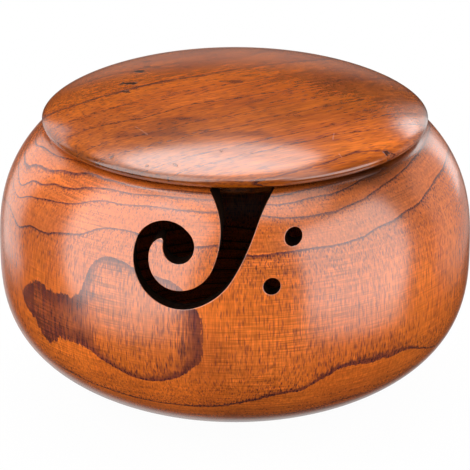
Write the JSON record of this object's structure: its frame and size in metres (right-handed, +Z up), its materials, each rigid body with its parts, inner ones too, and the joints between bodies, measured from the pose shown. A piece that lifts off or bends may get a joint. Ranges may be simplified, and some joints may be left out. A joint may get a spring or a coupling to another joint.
{
  "type": "lidded yarn bowl",
  "caption": "Round-bellied turned wooden yarn bowl with a spiral yarn slot and needle holes in its front wall, and a domed lid whose spigot drops into its mouth.",
  "frame": {"origin": "middle of the bowl's flat underside, on the surface it stands on", "axes": "+Z up along the turning axis, the yarn slot in the front wall facing -Y, +X to the right as seen from the front"},
  "size_m": [0.15, 0.15, 0.1019],
  "materials": {
    "bowl_wood": "gloss lacquer",
    "lid_wood": "gloss lacquer"
  },
  "bodies": {
    "bowl": {"bowl": "bowl_wood"},
    "lid": {"lid": "lid_wood"}
  },
  "joints": [
    {"name": "lid_lift", "type": "slide", "parent": "bowl", "child": "lid", "axis": [0, 0, 1], "range_m": [0, 0.12]}
  ]
}
